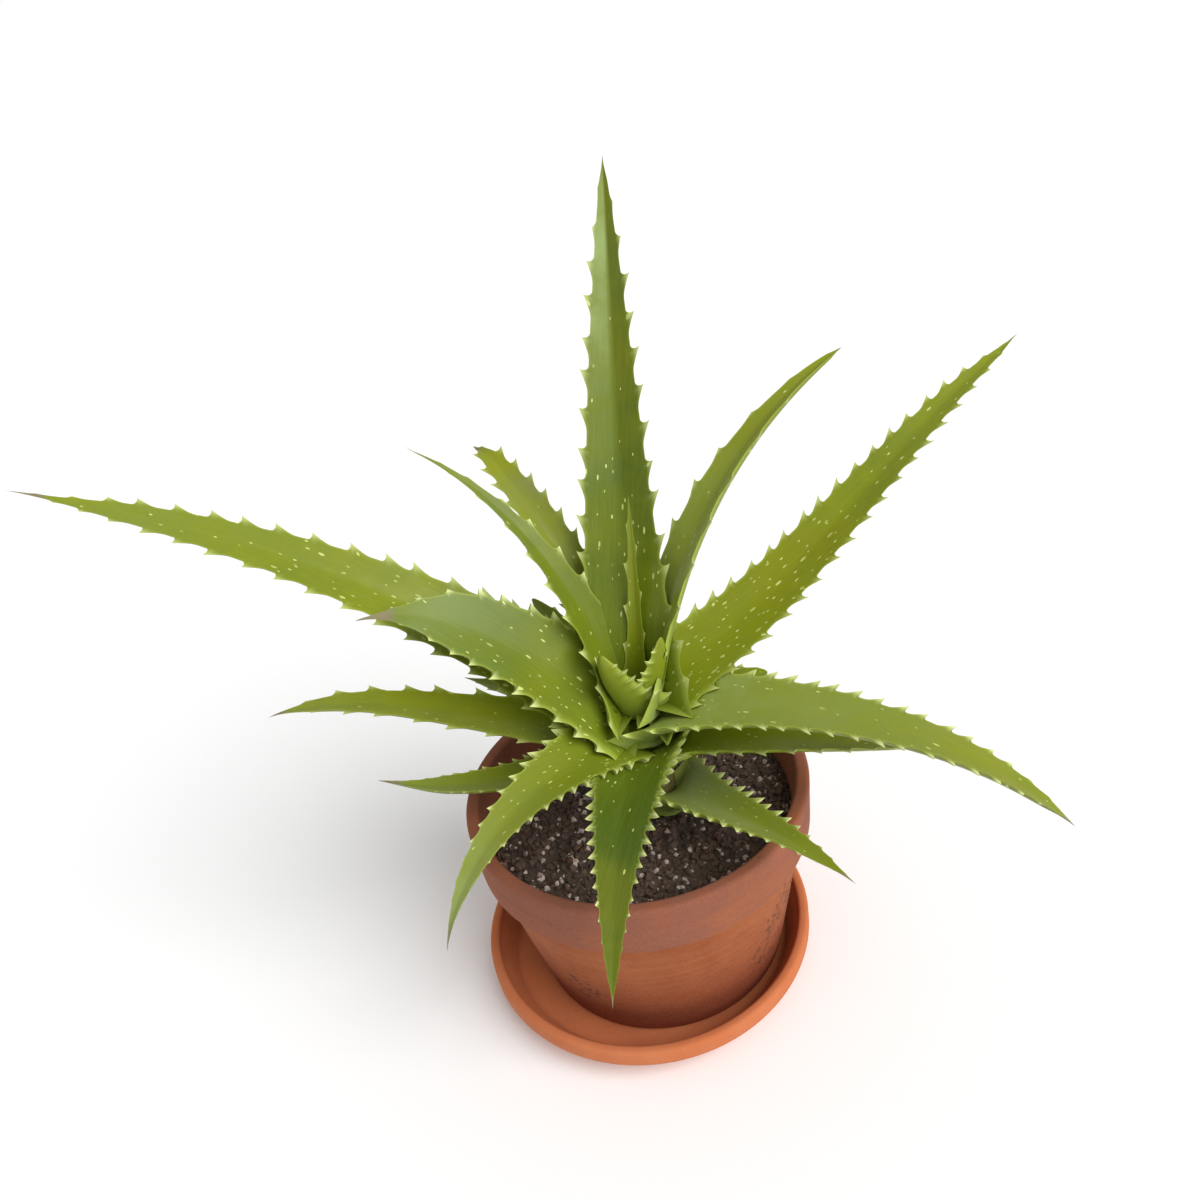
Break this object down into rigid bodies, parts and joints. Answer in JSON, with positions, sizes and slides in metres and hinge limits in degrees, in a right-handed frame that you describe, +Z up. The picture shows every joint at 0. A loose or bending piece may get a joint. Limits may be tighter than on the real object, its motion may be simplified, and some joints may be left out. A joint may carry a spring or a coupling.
{
  "type": "potted aloe plant",
  "caption": "Aloe with long, toothed, arching leaves in a rosette on a short stem, growing in a collared terracotta pot that stands in its saucer.",
  "frame": {"origin": "centre of the saucer's flat underside", "axes": "+Z up, +X to the right across the widest spread of the leaves, +Y away from the viewer of the picture"},
  "size_m": [0.3614, 0.1869, 0.2942],
  "materials": {
    "leaf": "satin",
    "stem": "matte",
    "soil": "matte",
    "pot": "matte",
    "saucer": "matte"
  },
  "bodies": {
    "root": {"saucer": "saucer", "pot": "pot", "soil": "soil", "stem": "stem", "leaf_heart_front": "leaf", "leaf_heart_right": "leaf", "leaf_inner_upright": "leaf", "leaf_tall": "leaf", "leaf_back_right": "leaf", "leaf_back_left": "leaf", "leaf_behind_left": "leaf", "leaf_long_right": "leaf", "leaf_right_short": "leaf", "leaf_left_short": "leaf", "leaf_front_right": "leaf", "leaf_long_left": "leaf", "leaf_back_left_low": "leaf", "leaf_front_left": "leaf", "leaf_low_back_right": "leaf", "leaf_left": "leaf", "leaf_left_behind": "leaf", "leaf_low_back_left": "leaf", "leaf_under_right": "leaf", "leaf_front": "leaf", "leaf_low_left": "leaf", "leaf_low_right": "leaf"}
  },
  "joints": []
}
